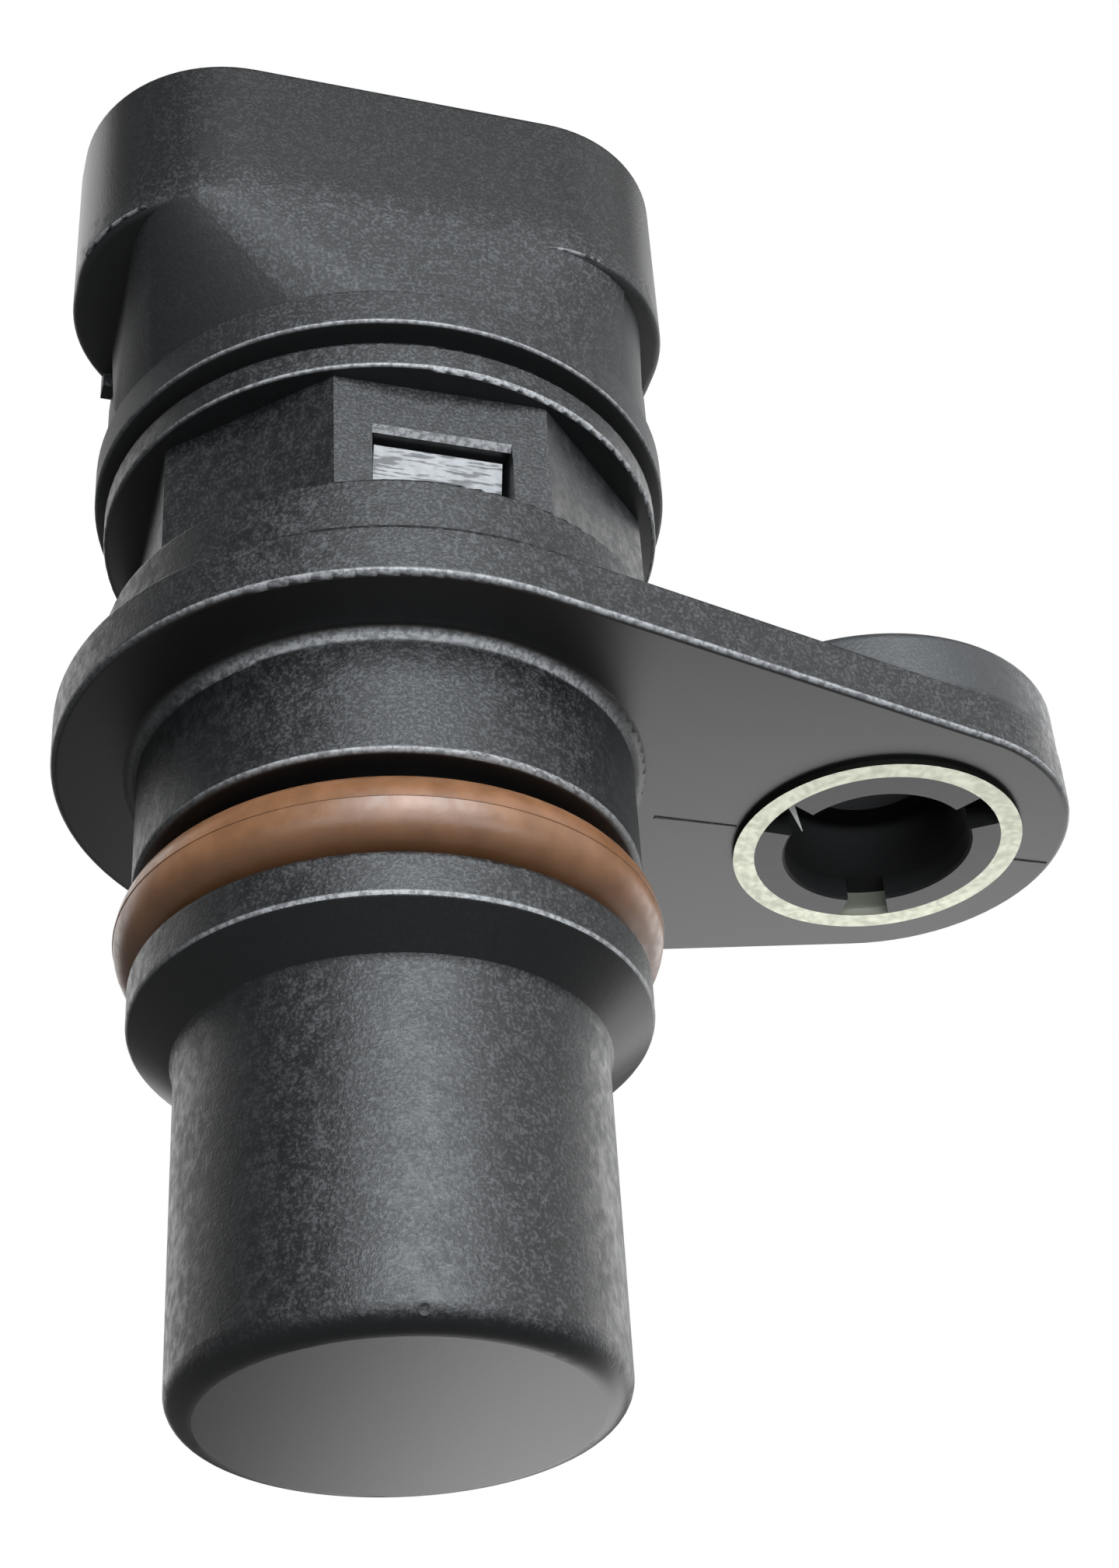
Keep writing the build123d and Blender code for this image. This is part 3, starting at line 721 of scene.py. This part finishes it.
class SENSOR_OT_add_parting_lines(bpy.types.Operator):
    """Adds the raised parting lines under the bolt tab, on both sides of the sleeve"""
    bl_idname = "sensor.add_parting_lines"
    bl_label = "Add Parting Lines"

    def execute(self, context):
        details = context.scene.sensor_details
        parting_ridge("parting_line_outer", BOLT_X + SLEEVE_R + PARTING_SLEEVE_GAP, TAB_END_X - PARTING_END_GAP,
                      details)
        parting_ridge("parting_line_inner", PARTING_START_X, BOLT_X - SLEEVE_R - PARTING_SLEEVE_GAP, details)
        return {"FINISHED"}


class SENSOR_OT_add_seal_flash(bpy.types.Operator):
    """Adds the thin flash line round the widest part of the rubber ring"""
    bl_idname = "sensor.add_seal_flash"
    bl_label = "Add Seal Flash"

    def execute(self, context):
        details = context.scene.sensor_details
        swept_bead("seal_flash_line", (0, 0, SEAL_Z), SEAL_R, 0, math.tau, details.flash_section,
                   details.flash_steps, bpy.data.materials["seal_brown"])
        return {"FINISHED"}


class SENSOR_OT_add_body_flare(bpy.types.Operator):
    """Adds the smooth skin that spreads the round body into the foot of the shroud"""
    bl_idname = "sensor.add_body_flare"
    bl_label = "Add Body Flare"

    def execute(self, context):
        foot = rounded_block(-BODY_R, BODY_R, -BODY_R, BAND_Z - FLARE_FOOT, BAND_Z, (BODY_R, BODY_R))
        head = rounded_block(FLARE_LEFT, FLARE_RIGHT, FLARE_FRONT, SHROUD_Z, SHROUD_Z + FLARE_HEAD, FLARE_CORNERS)
        foot.select_set(True)
        head.select_set(True)
        bpy.context.view_layer.objects.active = head
        bpy.ops.object.join()
        bpy.ops.object.mode_set(mode="EDIT")
        pick(head, "faces", lambda f: lies_at(f, BAND_Z) or lies_at(f, SHROUD_Z))
        bpy.ops.mesh.bridge_edge_loops()
        for place, normal in FLARE_CUTS:
            bpy.ops.mesh.select_all(action="SELECT")
            bpy.ops.mesh.bisect(plane_co=place, plane_no=normal, use_fill=True, clear_outer=True)
        weld()
        settle(head, "body_flare", bpy.data.materials["connector_black"])
        return {"FINISHED"}


class SENSOR_OT_add_edge_burrs(bpy.types.Operator):
    """Adds the fine burrs at the two steps under the shroud, their pale colour a painted highlight"""
    bl_idname = "sensor.add_edge_burrs"
    bl_label = "Add Edge Burrs"

    def execute(self, context):
        details = context.scene.sensor_details
        # The burrs' pale colour is a painted highlight
        pale = shade(details.edge_highlight_colour, 0.6)
        lit_burr_finish = scuffed_edge("scuffed_edge", pale, context.scene.sensor_finish.housing_colour)
        for name, centre, first, last in BURRS:
            steps = max(BURR_MIN_STEPS, round((last - first) * BURR_R / MM / 6))
            swept_bead(name, (*centre, BURR_Z), BURR_R, math.radians(first), math.radians(last - first),
                       details.burr_section, steps, lit_burr_finish)
        return {"FINISHED"}


class SENSOR_OT_add_liner_flash(bpy.types.Operator):
    """Adds the pale sliver of flash that reaches into the left slot of the liner"""
    bl_idname = "sensor.add_liner_flash"
    bl_label = "Add Liner Flash"

    def execute(self, context):
        mouth = Vector((BOLT_X, 0, SLEEVE_LOW[2]))
        root, tip = mouth + Vector(LINER_FLASH_ROOT), mouth + Vector(LINER_FLASH_TIP)
        along = (tip - root).normalized()
        start_clean()
        bpy.ops.mesh.primitive_cube_add(
            size=1, scale=(*LINER_FLASH_SECTION, (tip - root).length),
            location=(root + tip) / 2, rotation=along.to_track_quat("Z", "Y").to_euler())
        obj = fresh_piece()
        bpy.ops.object.mode_set(mode="EDIT")
        pick(obj, "faces", lambda f: f.normal.dot(along) > 0.9)
        bpy.ops.transform.resize(value=(LINER_FLASH_TAPER,) * 3, center_override=tip)
        bpy.ops.object.mode_set(mode="OBJECT")
        soften(obj, 0.012 * MM)
        settle(obj, "liner_flash_sliver", matt_moulding("flash_pale", (0.55, 0.56, 0.54), 0.35))
        return {"FINISHED"}


# Operator: stage

COOL, WHITE = (0.91, 0.96, 1.0), (1, 1, 1)

# Soft panels round the part: name, azimuth and elevation in degrees, distance, size, level, share of it, tint
SOFT_PANELS = (
    ("key_light", -92, 15, 0.7, (0.62, 0.50), "key_level", 1.0, COOL),
    ("right_light", -32, 25, 0.8, (0.60, 0.9), "fill_level", 0.5, WHITE),
    ("right_back_light", 28, 20, 0.8, (0.60, 0.8), "fill_level", 1.4, WHITE),
    ("back_light", 105, 35, 0.9, (1.2, 0.8), "back_level", 1.0, WHITE),
)

# Bright cards on the floor, which light the part from below: name, centre, size, level, share of it, tint
FLOOR_CARDS = (
    ("front_card", (-0.02, -0.25), (0.36, 0.24), "key_level", 0.38, COOL),
    ("back_card", (0.16, 0.21), (0.26, 0.26), "back_level", 1.72, WHITE),
)

# Floor: its size, its colour for the camera and for light that reaches the part, and where it fades to white
FLOOR_R, FLOOR_SIDES, FLOOR_THICKNESS = 2.2, 96, 0.01
FLOOR_SEEN, FLOOR_CAST = (0.86, 0.86, 0.86), (0.16, 0.16, 0.16)
FLOOR_FADE = (0.16, 0.55)

# The frame width that the lens goes with, in millimetres, and the nearest thing the camera sees
CAMERA_SENSOR = 36
CAMERA_NEAR = 0.005


def area_light(name, place, turn, size, level, colour):
    """Rectangular soft light that the camera doesn't see."""
    bpy.ops.object.light_add(type="AREA", location=place, rotation=turn)
    lamp = bpy.context.object
    lamp.name = name
    lamp.data.shape = "RECTANGLE"
    lamp.data.size, lamp.data.size_y = size
    lamp.data.color = colour
    lamp.data.energy = level * math.pi * size[0] * size[1]
    lamp.visible_camera = False


def light_path(tree):
    return tree.nodes.new("ShaderNodeLightPath").outputs


class SENSOR_OT_build_stage(bpy.types.Operator):
    """Sets up the pale floor, the soft lights, the white surroundings and the camera"""
    bl_idname = "sensor.build_stage"
    bl_label = "Build Stage"

    def execute(self, context):
        stage = context.scene.sensor_stage
        self.floor(stage)
        self.surroundings(context.scene, stage)
        for name, azimuth, elevation, distance, size, level, share, tint in SOFT_PANELS:
            a, e = math.radians(azimuth), math.radians(elevation)
            place = Vector((math.cos(a) * math.cos(e), math.sin(a) * math.cos(e), math.sin(e))) * distance
            turn = (-place).to_track_quat("-Z", "Y").to_euler()
            area_light(name, place, turn, size, getattr(stage, level) * share, tint)
        for name, centre, size, level, share, tint in FLOOR_CARDS:
            place = (*centre, stage.floor_height + MM)
            area_light(name, place, (math.pi, 0, 0), size, getattr(stage, level) * share, tint)
        self.camera(context.scene, stage)
        context.scene.view_settings.view_transform = "Standard"
        return {"FINISHED"}

    def floor(self, stage):
        start_clean()
        bpy.ops.mesh.primitive_circle_add(vertices=FLOOR_SIDES, radius=FLOOR_R, fill_type="NGON",
                                          location=(0, 0, stage.floor_height))
        obj = fresh_piece()
        bpy.ops.object.mode_set(mode="EDIT")
        bpy.ops.mesh.select_all(action="SELECT")
        bpy.ops.mesh.extrude_region_move(TRANSFORM_OT_translate={"value": (0, 0, -FLOOR_THICKNESS)})
        weld()
        obj.name = "floor"
        finish = Finish("floor_white", FLOOR_SEEN, 0.8)
        glow = finish.tree.nodes.new("ShaderNodeEmission")
        mix = finish.tree.nodes.new("ShaderNodeMixShader")
        camera_ray = light_path(finish.tree)["Is Camera Ray"]
        reach = finish.tree.nodes.new("ShaderNodeVectorMath")
        reach.operation = "LENGTH"
        finish.put(reach.inputs[0], finish.place)
        far = finish.span(reach.outputs["Value"], *FLOOR_FADE)
        finish.colour(finish.blend(camera_ray, FLOOR_CAST, FLOOR_SEEN))
        finish.put(mix.inputs[0], finish.maths("MULTIPLY", camera_ray, far))
        finish.put(mix.inputs[1], finish.shader.outputs[0])
        finish.put(mix.inputs[2], glow.outputs[0])
        finish.put(finish.output.inputs["Surface"], mix.outputs[0])
        obj.data.materials.append(finish.material)

    def surroundings(self, scene, stage):
        """White where the camera sees it, and only dimly lit for the part."""
        world = bpy.data.worlds.new("studio")
        world.use_nodes = True
        tree = world.node_tree
        tree.nodes.clear()
        output = tree.nodes.new("ShaderNodeOutputWorld")
        mix = tree.nodes.new("ShaderNodeMixShader")
        tree.links.new(light_path(tree)["Is Camera Ray"], mix.inputs[0])
        for socket, level in ((mix.inputs[1], stage.room_level), (mix.inputs[2], 1.0)):
            light = tree.nodes.new("ShaderNodeBackground")
            light.inputs["Color"].default_value = (*WHITE, 1)
            light.inputs["Strength"].default_value = level
            tree.links.new(light.outputs[0], socket)
        tree.links.new(mix.outputs[0], output.inputs["Surface"])
        scene.world = world

    def camera(self, scene, stage):
        turn = (Matrix.Rotation(-stage.camera_yaw, 4, "Z")
                @ Matrix.Rotation(math.radians(90) + stage.camera_pitch, 4, "X")
                @ Matrix.Rotation(stage.camera_roll, 4, "Z"))
        bpy.ops.object.camera_add(location=stage.camera_place, rotation=turn.to_euler())
        camera = bpy.context.object
        camera.name = "photo_camera"
        camera.data.lens = stage.camera_lens
        camera.data.sensor_width = CAMERA_SENSOR
        camera.data.sensor_fit = "AUTO"
        camera.data.clip_start = CAMERA_NEAR
        scene.camera = camera


# Panel and registration

class SENSOR_PT_panel(bpy.types.Panel):
    """Lists the operators and settings of the sensor"""
    bl_idname = "SENSOR_PT_panel"
    bl_label = "Camshaft Sensor"
    bl_space_type = "VIEW_3D"
    bl_region_type = "UI"
    bl_category = "Sensor"

    def draw(self, context):
        for operator in OPERATORS:
            self.layout.operator(operator.bl_idname)
        for group in (context.scene.sensor_finish, context.scene.sensor_details, context.scene.sensor_stage):
            box = self.layout.box()
            for name in group.__annotations__:
                box.prop(group, name)


SETTINGS = (SensorFinish, SensorDetails, SensorStage)
OPERATORS = (
    SENSOR_OT_finish_housing,
    SENSOR_OT_finish_connector,
    SENSOR_OT_finish_bolt_hole,
    SENSOR_OT_finish_seals,
    SENSOR_OT_finish_inner,
    SENSOR_OT_add_gate_mark,
    SENSOR_OT_add_parting_lines,
    SENSOR_OT_add_seal_flash,
    SENSOR_OT_add_body_flare,
    SENSOR_OT_add_edge_burrs,
    SENSOR_OT_add_liner_flash,
    SENSOR_OT_build_stage,
)


def register():
    for cls in SETTINGS + OPERATORS + (SENSOR_PT_panel,):
        bpy.utils.register_class(cls)
    bpy.types.Scene.sensor_finish = PointerProperty(type=SensorFinish)
    bpy.types.Scene.sensor_details = PointerProperty(type=SensorDetails)
    bpy.types.Scene.sensor_stage = PointerProperty(type=SensorStage)


def unregister():
    del bpy.types.Scene.sensor_stage
    del bpy.types.Scene.sensor_details
    del bpy.types.Scene.sensor_finish
    for cls in reversed(SETTINGS + OPERATORS + (SENSOR_PT_panel,)):
        bpy.utils.unregister_class(cls)


def main():
    register()
    for operator in OPERATORS:
        group, name = operator.bl_idname.split(".")
        getattr(getattr(bpy.ops, group), name)()


if __name__ == "__main__":
    main()
